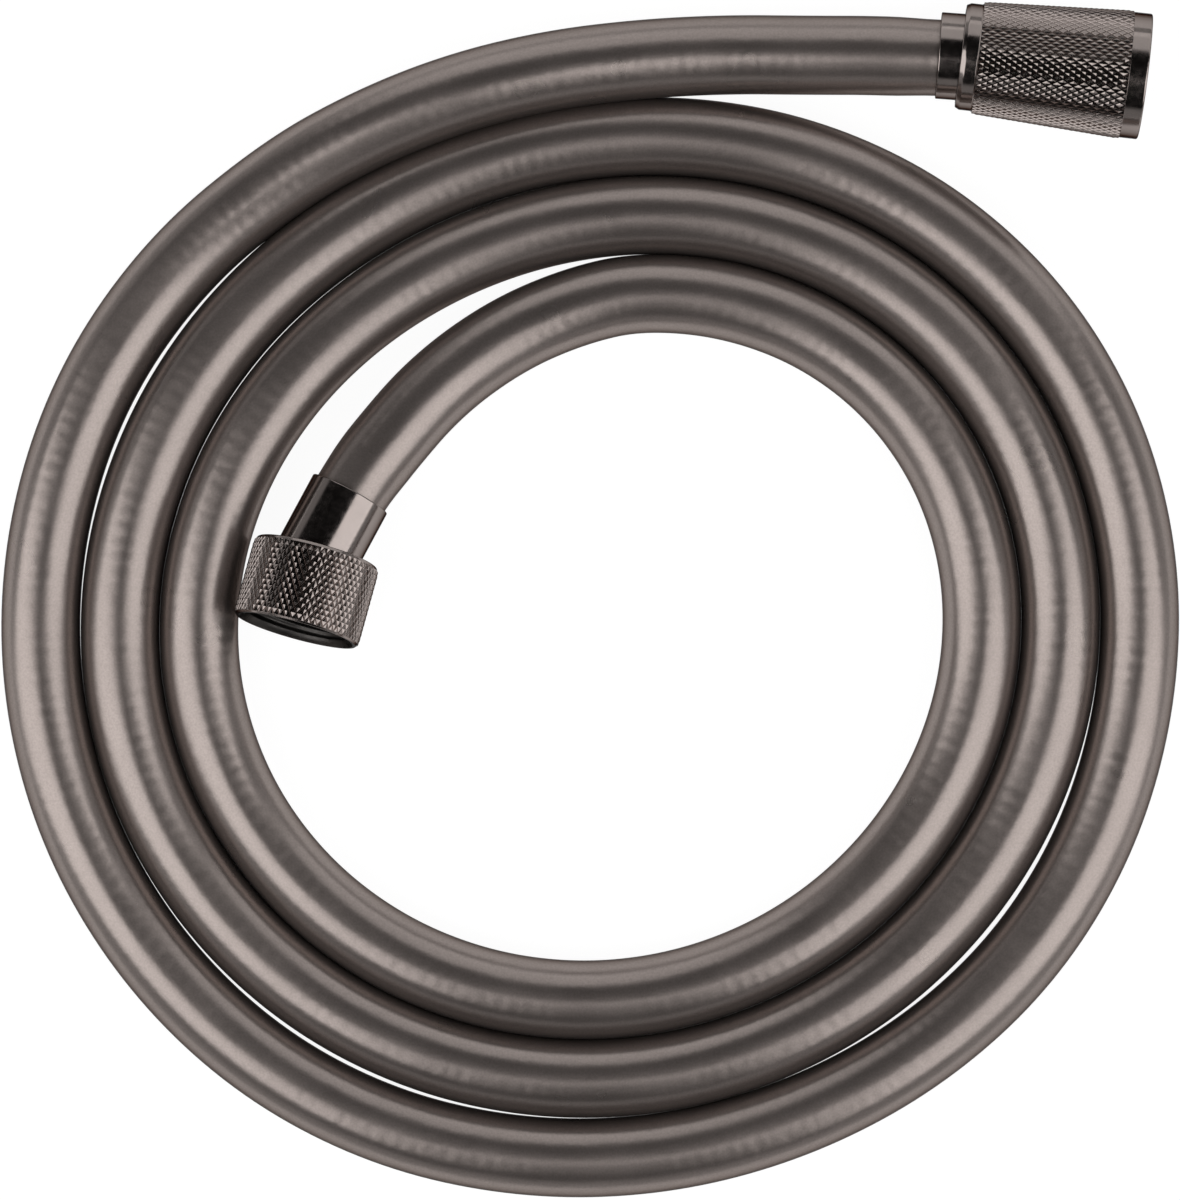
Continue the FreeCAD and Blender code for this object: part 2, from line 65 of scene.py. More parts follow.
def place_at(base, axis):
    """The matrix that puts a piece made along +Z at base, along axis."""
    return Matrix.Translation(base) @ axis.to_track_quat("Z", "Y").to_matrix().to_4x4()


# The union nut's pivot is this far in front of its sleeve's mouth, and of its own rear
WALL_MOUTH_TO_PIVOT = 13.15 * MM
WALL_NUT_REAR_TO_PIVOT = 0.8 * MM
WALL_PIVOT = Vector(joint_named("wall_nut_spin")["pos_m"])
WALL_NUT_AXIS = Vector(joint_named("wall_nut_spin")["axis"])
WALL_NUT_REAR = WALL_PIVOT - WALL_NUT_AXIS * WALL_NUT_REAR_TO_PIVOT
WALL_HOSE_AXIS = direction(azimuth=242, elevation=6.5)
WALL_MOUTH = WALL_PIVOT - WALL_HOSE_AXIS * WALL_MOUTH_TO_PIVOT

# The hose's pull leans its other sleeve a little inside the conical nut, about a place this far in
SLEEVE_LEAN_DEPTH = 9 * MM
SHOWER_MOUTH = Vector(joint_named("shower_swivel")["pos_m"])
SHOWER_AXIS = Vector(joint_named("shower_swivel")["axis"])
SLEEVE_AXIS = direction(azimuth=-4.6, elevation=3.07)
SLEEVE_MOUTH = SHOWER_MOUTH + (SHOWER_AXIS - SLEEVE_AXIS) * SLEEVE_LEAN_DEPTH

# Camera

CAMERA_HEIGHT = 860 * MM
HOSE_MIDDLE_HEIGHT = 7 * MM
PICTURE_SIDE = 219 * MM
# In plain millimetres, like a camera's lens
SENSOR_WIDTH = 36


def add_camera():
    """Straight down over the coil; the picture's longer side spans PICTURE_SIDE at the hose's middle."""
    data = bpy.data.cameras.new("camera")
    data.sensor_width = SENSOR_WIDTH
    data.lens = SENSOR_WIDTH * (CAMERA_HEIGHT - HOSE_MIDDLE_HEIGHT) / PICTURE_SIDE
    camera = bpy.data.objects.new("camera", data)
    camera.location = (0, 0, CAMERA_HEIGHT)
    bpy.context.scene.collection.objects.link(camera)
    bpy.context.scene.camera = camera


add_camera()

# The hose's route

HOSE_RADIUS = 7.17 * MM
# How far the hose reaches into each sleeve
HOSE_DEPTH = 13.6 * MM
# The coil's angles are in degrees and grow from turn to turn, inwards
COIL_CENTRE = Vector((4.0, -4.9, 0)) * MM
COIL_FROM = 140
COIL_TO = 1165
COIL_FIRST_RADIUS = 103.53 * MM
COIL_PITCH = 14.38 * MM
COIL_OVAL = 2.6 * MM
COIL_OVAL_ANGLE = 21.5
COIL_TREFOIL = 0.4 * MM
COIL_TREFOIL_ANGLE = 53
# Where a turn stands off the next one: from and to, in degrees, and how far, in plain millimetres
COIL_SLACKS = ((120, 182, 0.8), (203, 273, 0.75), (290, 356, 0.9), (490, 523, 0.2))
COIL_STEPS = 68
SPLINE_STEPS = 12
# The weight that a quadratic spline gives the control point it passes closest to
NEAREST_WEIGHT = 0.75

# Given in plain millimetres: from the conical nut over the second turn's shoulder to the
# coil, and from the coil's inside up to the union nut
LEAD = (
    (54.5, 99.1, 9.4),
    (40, 99.1, 9.5),
    (25, 99.2, 10.1),
    (9.5, 98.3, 11.1),
    (-7, 96.2, 12.2),
    (-23.5, 92.2, 12.6),
    (-39.5, 86.1, 11.4),
    (-55.5, 77.6, 9.3),
)
TAIL = (
    (-2.9, 53.6, 7.2),
    (-15.7, 48, 7.4),
    (-28.2, 38.8, 8.1),
    (-37.9, 27.4, 9.4),
)
# Along the union nut's sleeve, from its mouth
TAIL_END = (-1 * MM, 8 * MM, HOSE_DEPTH)


def coil_radius(angle):
    wound = COIL_PITCH * (angle - COIL_FROM) / 360
    oval = COIL_OVAL * math.cos(math.radians(2 * (angle - COIL_OVAL_ANGLE)))
    trefoil = COIL_TREFOIL * math.cos(math.radians(3 * (angle - COIL_TREFOIL_ANGLE)))
    slack = 0
    for start, end, stand_off in COIL_SLACKS:
        share = min(1, max(0, (angle - start) / (end - start)))
        slack += stand_off * math.sin(math.pi * share) ** 2
    return COIL_FIRST_RADIUS - wound + oval + trefoil + slack * MM


def coil_point(angle, scale):
    """The middle of the hose at an angle, with the coil's radius scaled."""
    turn = math.radians(angle)
    outward = Vector((math.cos(turn), math.sin(turn), 0))
    return COIL_CENTRE + outward * coil_radius(angle) * scale + Vector((0, 0, HOSE_RADIUS))


def hose_route():
    """The spline's control points, from the conical nut through the coil to the union nut."""
    route = [SLEEVE_MOUTH + SLEEVE_AXIS * HOSE_DEPTH]
    route += [Vector(point) * MM for point in LEAD]
    step = (COIL_TO - COIL_FROM) / COIL_STEPS
    # The spline cuts inside its control points, so they stand outside the coil by this factor
    outside = 1 / (NEAREST_WEIGHT + (1 - NEAREST_WEIGHT) * math.cos(math.radians(step)))
    route += [coil_point(COIL_FROM + i * step, outside) for i in range(COIL_STEPS + 1)]
    route += [Vector(point) * MM for point in TAIL]
    route += [WALL_MOUTH + WALL_HOSE_AXIS * along for along in TAIL_END]
    return route


def spline_points(route):
    """Points along the quadratic spline that has the route as its control points."""
    curve = bpy.data.curves.new("route", "CURVE")
    curve.dimensions = "3D"
    spline = curve.splines.new("NURBS")
    spline.points.add(len(route) - 1)
    for point, place in zip(spline.points, route):
        point.co = (*place, 1)
    spline.order_u = 3
    spline.use_endpoint_u = True
    spline.resolution_u = SPLINE_STEPS
    guide = bpy.data.objects.new("route", curve)
    bpy.context.scene.collection.objects.link(guide)
    bpy.context.view_layer.update()
    mesh = bpy.data.meshes.new_from_object(guide)
    points = [vertex.co.copy() for vertex in mesh.vertices]
    bpy.data.objects.remove(guide)
    bpy.data.curves.remove(curve)
    bpy.data.meshes.remove(mesh)
    return points


HOSE_PATH = spline_points(hose_route())

# Node helpers

# Noise seldom leaves this range
NOISE_LOW = 0.3
NOISE_HIGH = 0.7
# The braid's yarns that wind each way
BRAID_STARTS = 8


def new_material(name):
    """A material with only a Principled shader and its output."""
    material = bpy.data.materials.new(name)
    material.use_nodes = True
    return material, material.node_tree, material.node_tree.nodes["Principled BSDF"]


def calculate(tree, operation, first, second=None, third=None):
    """A Math node; each input is a number or another node's output."""
    node = tree.nodes.new("ShaderNodeMath")
    node.operation = operation
    for socket, value in zip(node.inputs, (first, second, third)):
        if value is None:
            continue
        if isinstance(value, bpy.types.NodeSocket):
            tree.links.new(value, socket)
        else:
            socket.default_value = value
    return node.outputs["Value"]


def noise(tree, scale, detail=3.0, stretch=(1, 1, 1)):
    """Noise in the piece's own coordinates, so that it stays put on the surface."""
    place = tree.nodes.new("ShaderNodeTexCoord")
    mapping = tree.nodes.new("ShaderNodeMapping")
    mapping.inputs["Scale"].default_value = stretch
    texture = tree.nodes.new("ShaderNodeTexNoise")
    texture.inputs["Scale"].default_value = scale
    texture.inputs["Detail"].default_value = detail
    tree.links.new(place.outputs["Object"], mapping.inputs["Vector"])
    tree.links.new(mapping.outputs["Vector"], texture.inputs["Vector"])
    return texture.outputs["Fac"]


def spread(tree, value, low, high, from_low=NOISE_LOW, from_high=NOISE_HIGH):
    """A value whose range from from_low to from_high is turned into low to high."""
    node = tree.nodes.new("ShaderNodeMapRange")
    node.inputs["From Min"].default_value = from_low
    node.inputs["From Max"].default_value = from_high
    node.inputs["To Min"].default_value = low
    node.inputs["To Max"].default_value = high
    tree.links.new(value, node.inputs["Value"])
    return node.outputs["Result"]


def tint(tree, value, dark, light):
    """A colour between dark and light, by a value from 0 to 1."""
    node = tree.nodes.new("ShaderNodeMix")
    node.data_type = "RGBA"
    node.inputs["A"].default_value = (*dark, 1)
    node.inputs["B"].default_value = (*light, 1)
    tree.links.new(value, node.inputs["Factor"])
    return node.outputs["Result"]


def bump(tree, height, distance, under=None):
    """Relief from a height, on top of the relief under it where one is given."""
    node = tree.nodes.new("ShaderNodeBump")
    node.inputs["Distance"].default_value = distance
    node.inputs["Strength"].default_value = 1
    tree.links.new(height, node.inputs["Height"])
    if under is not None:
        tree.links.new(under, node.inputs["Normal"])
    return node.outputs["Normal"]


def along_and_round(tree):
    """A hose layer's own coordinates: the length along it in metres, and its turn from 0 to 1."""
    node = tree.nodes.new("ShaderNodeUVMap")
    split = tree.nodes.new("ShaderNodeSeparateXYZ")
    tree.links.new(node.outputs["UV"], split.inputs["Vector"])
    return split.outputs["X"], split.outputs["Y"]


def crossing_helices(tree, pitch):
    """Two waves that wind round a hose layer both ways like its yarns, each from -1 to 1."""
    along, turn = along_and_round(tree)
    run = calculate(tree, "MULTIPLY", along, FULL_TURN / pitch)
    right = calculate(tree, "MULTIPLY_ADD", turn, FULL_TURN * BRAID_STARTS, run)
    left = calculate(tree, "MULTIPLY_ADD", turn, -FULL_TURN * BRAID_STARTS, run)
    return calculate(tree, "SINE", right), calculate(tree, "SINE", left)


# Materials

BRAID_PITCH = 9 * MM
BRAID_PRINT_PITCH = 5.6 * MM
# Plating is this many times rougher or smoother from spot to spot
PLATING_UNEVENNESS = 1.25
# Tool marks make bare metal rougher by up to this
TOOL_MARK_ROUGHNESS = 0.12
# Keeps the metals from turning white where they are seen edge-on
EDGE_TINT = (0.1, 0.1, 0.1, 1)


def jacket_material():
    """Graphite PVC with metal flakes, satin, with the braid faintly printed through from inside."""
    material, tree, shader = new_material("hose_jacket")
    cloud = noise(tree, scale=60, detail=2)
    grain = noise(tree, scale=2600, detail=2)
    flakes = spread(tree, grain, low=0, high=1)
    tone = tint(tree, flakes, dark=(0.248, 0.213, 0.198), light=(0.294, 0.253, 0.236))
    tree.links.new(tone, shader.inputs["Base Color"])
    tree.links.new(spread(tree, cloud, low=0.27, high=0.32), shader.inputs["Roughness"])
    right, left = crossing_helices(tree, BRAID_PRINT_PITCH)
    lumps = calculate(tree, "MULTIPLY", right, left)
    patches = noise(tree, scale=110, detail=2)
    patchy = calculate(tree, "MULTIPLY", lumps, spread(tree, patches, low=0, high=1))
    printed = bump(tree, patchy, distance=0.014 * MM)
    uneven = noise(tree, scale=330, detail=2)
    tree.links.new(bump(tree, uneven, distance=0.05 * MM, under=printed), shader.inputs["Normal"])
    shader.inputs["Metallic"].default_value = 0.89
    shader.inputs["Specular Tint"].default_value = EDGE_TINT
    return material


def braid_material():
    """White polyester yarns that cross over and under."""
    material, tree, shader = new_material("hose_braid")
    right, left = crossing_helices(tree, BRAID_PITCH)
    over = calculate(tree, "MAXIMUM", right, left)
    weave = calculate(tree, "ABSOLUTE", over)
    tone = tint(tree, weave, dark=(0.42, 0.42, 0.4), light=(0.78, 0.78, 0.75))
    tree.links.new(tone, shader.inputs["Base Color"])
    tree.links.new(bump(tree, weave, distance=0.2 * MM), shader.inputs["Normal"])
    shader.inputs["Roughness"].default_value = 0.7
    shader.inputs["Sheen Weight"].default_value = 0.3
    return material


def liner_material():
    """Soft, slightly clear PVC."""
    material, tree, shader = new_material("hose_liner")
    cloud = noise(tree, scale=90)
    tone = tint(tree, cloud, dark=(0.7, 0.69, 0.64), light=(0.82, 0.81, 0.77))
    tree.links.new(tone, shader.inputs["Base Color"])
    tree.links.new(spread(tree, cloud, low=0.35, high=0.5), shader.inputs["Roughness"])
    shader.inputs["Subsurface Weight"].default_value = 0.2
    shader.inputs["Subsurface Scale"].default_value = 1 * MM
    return material


def plated_material(name, roughness, dark, light):
    """Polished gunmetal plating, with the faint unevenness of a buffed surface."""
    material, tree, shader = new_material(name)
    cloud = noise(tree, scale=240, detail=4)
    tree.links.new(tint(tree, cloud, dark, light), shader.inputs["Base Color"])
    smoothest = roughness / PLATING_UNEVENNESS
    roughest = roughness * PLATING_UNEVENNESS
    spots = noise(tree, scale=900)
    tree.links.new(spread(tree, spots, smoothest, roughest), shader.inputs["Roughness"])
    tree.links.new(bump(tree, cloud, distance=0.003 * MM), shader.inputs["Normal"])
    shader.inputs["Metallic"].default_value = 1
    shader.inputs["Specular Tint"].default_value = EDGE_TINT
    return material


def turned_material(name, roughness, dark, light):
    """Bare turned or drawn metal, with fine tool marks."""
    material, tree, shader = new_material(name)
    marks = noise(tree, scale=700, detail=5, stretch=(1, 1, 6))
    tree.links.new(tint(tree, marks, dark, light), shader.inputs["Base Color"])
    roughest = roughness + TOOL_MARK_ROUGHNESS
    tree.links.new(spread(tree, marks, roughness, roughest), shader.inputs["Roughness"])
    tree.links.new(bump(tree, marks, distance=0.02 * MM), shader.inputs["Normal"])
    shader.inputs["Metallic"].default_value = 1
    return material


def rubber_material():
    """Matt black sealing rubber with a fine moulded grain."""
    material, tree, shader = new_material("seal_rubber")
    grain = noise(tree, scale=3000)
    tone = tint(tree, grain, dark=(0.012, 0.012, 0.012), light=(0.032, 0.032, 0.031))
    tree.links.new(tone, shader.inputs["Base Color"])
    tree.links.new(spread(tree, grain, low=0.55, high=0.75), shader.inputs["Roughness"])
    tree.links.new(bump(tree, grain, distance=0.02 * MM), shader.inputs["Normal"])
    return material


def acetal_material():
    """Natural acetal, slightly waxy."""
    material, tree, shader = new_material("slip_plastic")
    cloud = noise(tree, scale=500)
    tone = tint(tree, cloud, dark=(0.72, 0.71, 0.68), light=(0.84, 0.83, 0.8))
    tree.links.new(tone, shader.inputs["Base Color"])
    tree.links.new(spread(tree, cloud, low=0.3, high=0.45), shader.inputs["Roughness"])
    return material


PLATING_DARK = (0.246, 0.213, 0.2)
PLATING_LIGHT = (0.289, 0.25, 0.235)
PLATED = plated_material("polished_metal", roughness=0.16, dark=PLATING_DARK, light=PLATING_LIGHT)
KNURLED = plated_material("knurled_metal", roughness=0.13, dark=PLATING_DARK, light=PLATING_LIGHT)
# Painted shade: a near-black metal on the nuts' bores and threads stands in for the shade inside them
PAINTED_SHADE_METAL = plated_material(
    "painted_shade_metal", roughness=0.4, dark=(0.045, 0.042, 0.04), light=(0.075, 0.07, 0.067)
)
BRASS = turned_material("brass", roughness=0.22, dark=(0.5, 0.37, 0.18), light=(0.66, 0.51, 0.27))
CRIMP_STEEL = turned_material(
    "crimp_steel", roughness=0.3, dark=(0.45, 0.45, 0.44), light=(0.6, 0.6, 0.59)
)
SPRING_STEEL = turned_material(
    "spring_steel", roughness=0.25, dark=(0.38, 0.38, 0.39), light=(0.52, 0.52, 0.52)
)
RUBBER = rubber_material()
ACETAL = acetal_material()

# Meshes


def add_piece(name, points, faces, materials, uvs=None):
    """A closed piece with smooth faces, and with a UV for each face corner where uvs gives them."""
    mesh = bpy.data.meshes.new(name)
    mesh.from_pydata(points, [], faces)
    for material in materials:
        mesh.materials.append(material)
    mesh.polygons.foreach_set("use_smooth", [True] * len(faces))
    if uvs is not None:
        layer = mesh.uv_layers.new(name="along_and_round")
        layer.data.foreach_set("uv", [value for uv in uvs for value in uv])
    face_outwards(mesh)
    piece = bpy.data.objects.new(name, mesh)
    bpy.context.scene.collection.objects.link(piece)
    return piece


def face_outwards(mesh):
    shell = bmesh.new()
    shell.from_mesh(mesh)
    bmesh.ops.recalc_face_normals(shell, faces=shell.faces)
    shell.to_mesh(mesh)
    shell.free()


def joined(ring, next_ring):
    """The quads between two rings with as many points."""
    count = len(ring)
    quads = []
    for i in range(count):
        after = (i + 1) % count
        quads.append((ring[i], ring[after], next_ring[after], next_ring[i]))
    return quads


# The hose's layers

JACKET_SIDES = 40
# The inner layers have fewer sides, and follow every third point of the path
LAYER_SIDES = 24
LAYER_EVERY = 3


def frames_along(path):
    """At each point, the distance run so far and two directions across, carried without twist."""
    across = Vector((0, 0, 1))
    run = 0
    frames = []
    for i, point in enumerate(path):
        heading = path[min(i + 1, len(path) - 1)] - path[max(i - 1, 0)]
        heading.normalize()
        across = (across - heading * across.dot(heading)).normalized()
        if i > 0:
            run += (point - path[i - 1]).length
        frames.append((point, run, across, heading.cross(across)))
    return frames


def hose_layer(name, outer_radius, inner_radius, sides, every, material):
    """A tube with a bore; outer_radius takes the distance run along it and its whole length."""
    path = HOSE_PATH[:-1:every] + HOSE_PATH[-1:]
    frames = frames_along(path)
    whole = frames[-1][1]
    points = []
    rings = {"outer": [], "inner": []}
    for point, run, across, aside in frames:
        for wall, reach in (("outer", outer_radius(run, whole)), ("inner", inner_radius)):
            rings[wall].append(list(range(len(points), len(points) + sides)))
            for i in range(sides):
                turn = FULL_TURN * i / sides
                side = across * math.cos(turn) + aside * math.sin(turn)
                points.append(point + side * reach)
    faces = []
    uvs = []
    for wall in rings.values():
        for i in range(len(frames) - 1):
            faces += joined(wall[i], wall[i + 1])
            here = frames[i][1]
            there = frames[i + 1][1]
            for side in range(sides):
                low = side / sides
                high = (side + 1) / sides
                uvs += [(here, low), (here, high), (there, high), (there, low)]
    for end in (0, -1):
        faces += joined(rings["outer"][end], rings["inner"][end])
        uvs += [(0, 0)] * (4 * sides)
    return add_piece(name, points, faces, [material], uvs=uvs)


# The crimp ring squeezes the jacket from this far inside each sleeve's mouth
CRIMP_START = 1.2 * MM
CRIMPED_RADIUS = 6.55 * MM
HOSE_MOUTH_RADIUS = 6.9 * MM
# In front of a sleeve the jacket takes this length to reach its full size
SWELL_LENGTH = 9 * MM
BRAID_RADIUS = 5.5 * MM
LINER_RADIUS = 5.0 * MM
HOSE_BORE_RADIUS = 4.0 * MM


def eased(share):
    """A share kept from 0 to 1, with a soft start and end."""
    share = min(1, max(0, share))
    return share * share * (3 - 2 * share)


def jacket_radius(run, whole):
    """The jacket is squeezed inside the sleeves and swells to its full size in front of them."""
    outside = min(run, whole - run) - HOSE_DEPTH
    if outside < -CRIMP_START:
        return CRIMPED_RADIUS
    return HOSE_MOUTH_RADIUS + (HOSE_RADIUS - HOSE_MOUTH_RADIUS) * eased(outside / SWELL_LENGTH)


def add_hose():
    jacket = hose_layer(
        "hose_jacket",
        jacket_radius,
        BRAID_RADIUS,
        sides=JACKET_SIDES,
        every=1,
        material=jacket_material(),
    )
    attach(jacket, "hose")
    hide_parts("hose_jacket_coil", "hose_jacket_lead")
    for name, outer, inner, make_material in (
        ("braid", BRAID_RADIUS, LINER_RADIUS, braid_material),
        ("liner", LINER_RADIUS, HOSE_BORE_RADIUS, liner_material),
    ):
        layer = hose_layer(
            f"hose_{name}_tube",
            lambda run, whole: outer,
            inner,
            sides=LAYER_SIDES,
            every=LAYER_EVERY,
            material=make_material(),
        )
        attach(layer, "hose")
        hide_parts(f"hose_{name}")


add_hose()

# Turned pieces

LATHE_SIDES = 192
ROUND_STEPS = 4
# A rounding takes up to this share of the shorter line next to it
ROUNDING_ROOM = 0.45
# One more point this share of its reach before and after a rounding keeps the flats evenly shaded
FLAT_MARGIN = 0.05


def rounded(corners, closed=True):
    """The outline of a turned piece, from corners of (along, radius, rounding) in plain millimetres."""
    outline = []
    last = len(corners) - 1
    for i, (along, radius, rounding) in enumerate(corners):
        here = Vector((along, radius)) * MM
        if rounding == 0 or (not closed and i in (0, last)):
            outline.append(here)
            continue
        back = Vector(corners[i - 1][:2]) * MM - here
        ahead = Vector(corners[(i + 1) % len(corners)][:2]) * MM - here
        room = min(back.length, ahead.length)
        reach = min(rounding * MM / math.tan(back.angle(ahead) / 2), ROUNDING_ROOM * room)
        start = here + back.normalized() * reach
        end = here + ahead.normalized() * reach
        outline.append(start + back.normalized() * FLAT_MARGIN * reach)
        for step in range(ROUND_STEPS + 1):
            share = step / ROUND_STEPS
            near = start.lerp(here, share)
            outline.append(near.lerp(here.lerp(end, share), share))
        outline.append(end + ahead.normalized() * FLAT_MARGIN * reach)
    return outline


def polar(radius, turn, along):
    return Vector((radius * math.cos(turn), radius * math.sin(turn), along))


def turned(name, corners, place, material):
    """A closed ring of the outline that the corners give, turned about the place's axis."""
    points = []
    rings = []
    for along, radius in rounded(corners):
        rings.append(range(len(points), len(points) + LATHE_SIDES))
        for i in range(LATHE_SIDES):
            points.append(place @ polar(radius, FULL_TURN * i / LATHE_SIDES, along))
    faces = []
    for ring, next_ring in zip(rings, rings[1:] + rings[:1]):
        faces += joined(ring, next_ring)
    return add_piece(name, points, faces, [material])


# Sleeves and seals

# In plain millimetres, with SLIGHT as the rounding of an edge that hardly shows
SLIGHT = 0.1
SLEEVE_WALL = 0.5
SLEEVE_END_WALL = 1.2
SLEEVE_HOLE_RADIUS = 6.2
SEAL_THICKNESS = 1.6
SEAL_BORE_RADIUS = 5.5
SEAL_ROUNDING = 0.15


def sleeve_corners(length, radius, mouth_rounding, front_rounding):
    """A cup whose mouth takes the hose, with a hole for the insert in its end wall."""
    inside = radius - SLEEVE_WALL
    end_wall = length - SLEEVE_END_WALL
    return [
        (0, radius, mouth_rounding),
        (length, radius, front_rounding),
        (length, SLEEVE_HOLE_RADIUS, SLIGHT),
        (end_wall, SLEEVE_HOLE_RADIUS, SLIGHT),
        (end_wall, inside, SLIGHT),
        (0, inside, SLIGHT),
    ]


def seal_corners(rear, radius):
    """A flat washer."""
    front = rear + SEAL_THICKNESS
    return [
        (rear, SEAL_BORE_RADIUS, SEAL_ROUNDING),
        (rear, radius, SEAL_ROUNDING),
        (front, radius, SEAL_ROUNDING),
        (front, SEAL_BORE_RADIUS, SEAL_ROUNDING),
    ]


# Knurled nuts

# A diamond's low pyramid takes this share of its width, and the grooves take the rest
KNURL_SHARE = 0.76
KNURL_RISE = 0.088 * MM
KNURL_DEPTH = 0.28 * MM
# The knurl's first and last rows are drawn in by this
KNURL_RUN_OUT = 0.1 * MM
# The thread's sizes are in plain millimetres, like the nuts' corners
THREAD_PITCH = 1.814
THREAD_MINOR_RADIUS = 9.315
THREAD_DEPTH = 0.9
THREAD_STEP = 0.2
# A face of a nut is in its bore, and takes the painted shade, where its normal points outwards by less
# than this
SHADED_BORE_FACING = -0.3


class Nut:
    """One closed skin: a knurled outside, then rings round both faces and through the bore."""

    def __init__(self, place, starts, rows, knurl_from, knurl_to, radius_at):
        """The knurl has as many diamonds round the nut as starts; each row is half a diamond long."""
        self.place = place
        self.points = []
        self.faces = []
        self.knurled = range(0)
        self.cell = FULL_TURN / starts
        self.starts = starts
        self.rows = rows
        self.knurl_from = knurl_from
        self.row_height = (knurl_to - knurl_from) / rows
        self.radius_at = radius_at
        # The rings' points line up with the diamonds at the knurl's edges
        self.ring_turns = []
        for i in range(starts):
            for width in (-1, -KNURL_SHARE, 0, KNURL_SHARE):
                self.ring_turns.append((i + 0.5 + width / 2) * self.cell)

    def point(self, radius, turn, along):
        self.points.append(self.place @ polar(radius, turn, along))
        return len(self.points) - 1

    def ring(self, radius_at_turn, along, turns):
        return [self.point(radius_at_turn(turn), turn, along) for turn in turns]

    def crest_radius(self, along):
        """The knurl's outer radius, drawn in a little at its first and last rows."""
        half = self.row_height * self.rows / 2
        off_middle = abs(along - self.knurl_from - half)
        edge = max(0, off_middle - half + self.row_height) / self.row_height
        return self.radius_at(along) - KNURL_RUN_OUT * edge

    def add_knurl(self):
        """Rows of diamonds, each a low pyramid, between two sets of crossing grooves."""
        valleys = []
        for row in range(self.rows + 1):
            along = self.knurl_from + row * self.row_height
            shift = 0.5 * (row % 2)
            depth = self.crest_radius(along) - KNURL_DEPTH
            turns = [(i + shift) * self.cell for i in range(self.starts)]
            valleys.append(self.ring(lambda turn: depth, along, turns))
        edges = {0: [], self.rows: []}
        for row in range(self.rows + 1):
            for i in range(self.starts):
                row_line = self.add_diamond(valleys, row, i)
                if row in edges:
                    edges[row] += row_line
        self.knurled = range(len(self.faces))
        return edges[0], edges[self.rows]

    def add_diamond(self, valleys, row, i):
        """One diamond, or the half of one that the knurl's first and last rows have."""
        along = self.knurl_from + row * self.row_height
        middle = (i + 0.5 + 0.5 * (row % 2)) * self.cell
        sides = [side for side in (1, -1) if 0 <= row + side <= self.rows]
        half_width = KNURL_SHARE * self.cell / 2
        peak = self.point(self.crest_radius(along), middle, along)
        foot = self.crest_radius(along) - KNURL_RISE
        left = self.point(foot, middle - half_width, along)
        right = self.point(foot, middle + half_width, along)
        valley_left = valleys[row][i]
        valley_right = valleys[row][(i + 1) % self.starts]
        for side in sides:
            valley = valleys[row + side][(i + row % 2) % self.starts]
            reach = along + side * KNURL_SHARE * self.row_height
            tip = self.point(self.crest_radius(reach) - KNURL_RISE, middle, reach)
            self.faces.append((valley_left, left, tip, valley))
            self.faces.append((valley, tip, right, valley_right))
            self.faces.append((left, peak, tip))
            self.faces.append((tip, peak, right))
        return [valley_left, left, peak, right]

    def add_rings(self, ring, corners):
        """Rings along the outline that the corners give, starting from a ring; gives the last one."""
        for along, radius in rounded(corners, closed=False):
            next_ring = self.ring(lambda turn: radius, along, self.ring_turns)
            self.faces += joined(ring, next_ring)
            ring = next_ring
        return ring

    def add_thread(self, ring, thread_from, thread_to):
        """The thread's turns, from a ring at the mouth inwards; gives the last ring."""
        steps = round((thread_to - thread_from) / THREAD_STEP)
        for step in range(1, steps):
            along = thread_to + (thread_from - thread_to) * step / steps
            # The groove deepens over the first pitch and runs out over the last half
            fade = min(1, (thread_to - along) / THREAD_PITCH, 2 * (along - thread_from) / THREAD_PITCH)

            def groove(turn):
                wave = math.cos(FULL_TURN * along / THREAD_PITCH - turn)
                return (THREAD_MINOR_RADIUS + THREAD_DEPTH * (0.5 - 0.5 * wave) * fade) * MM

            next_ring = self.ring(groove, along * MM, self.ring_turns)
            self.faces += joined(ring, next_ring)
            ring = next_ring
        return ring


def add_nut(name, nut, mouth, bore, thread=None):
    """The mouth's corners lead from the knurl to the bore, and the bore's from there to the rear."""
    rear_edge, front_edge = nut.add_knurl()
    ring = nut.add_rings(front_edge, mouth)
    if thread is not None:
        ring = nut.add_thread(ring, *thread)
    ring = nut.add_rings(ring, bore)
    nut.faces += joined(ring, rear_edge)
    finishes_and_painted_shade = [PLATED, KNURLED, PAINTED_SHADE_METAL]
    piece = add_piece(name, nut.points, nut.faces, finishes_and_painted_shade)
    out_of_place = nut.place.inverted()
    for face in piece.data.polygons:
        outwards = out_of_place @ face.center
        outwards.z = 0
        facing = out_of_place.to_3x3() @ face.normal
        if face.index in nut.knurled:
            face.material_index = finishes_and_painted_shade.index(KNURLED)
            face.use_smooth = False
        # A face in the bore takes the near-black metal of painted shade
        elif facing.dot(outwards.normalized()) < SHADED_BORE_FACING:
            face.material_index = finishes_and_painted_shade.index(PAINTED_SHADE_METAL)
    return piece


# Wall end

# In plain millimetres along from the sleeve's mouth, or from the nut's rear for the nut and the seal
WALL_NUT_RADIUS = 11.7
WALL_NUT_LENGTH = 14.7
WALL_KNURL_FROM = 0.6
WALL_KNURL_TO = 14.35
WALL_THREAD_FROM = 8.8
WALL_THREAD_TO = 13.7
WALL_CHAMBER_RADIUS = 10.6
WALL_COLLAR_THICKNESS = 1.6
WALL_COLLAR_RADIUS = 8.2
WALL_SEAL_FROM = 7.1


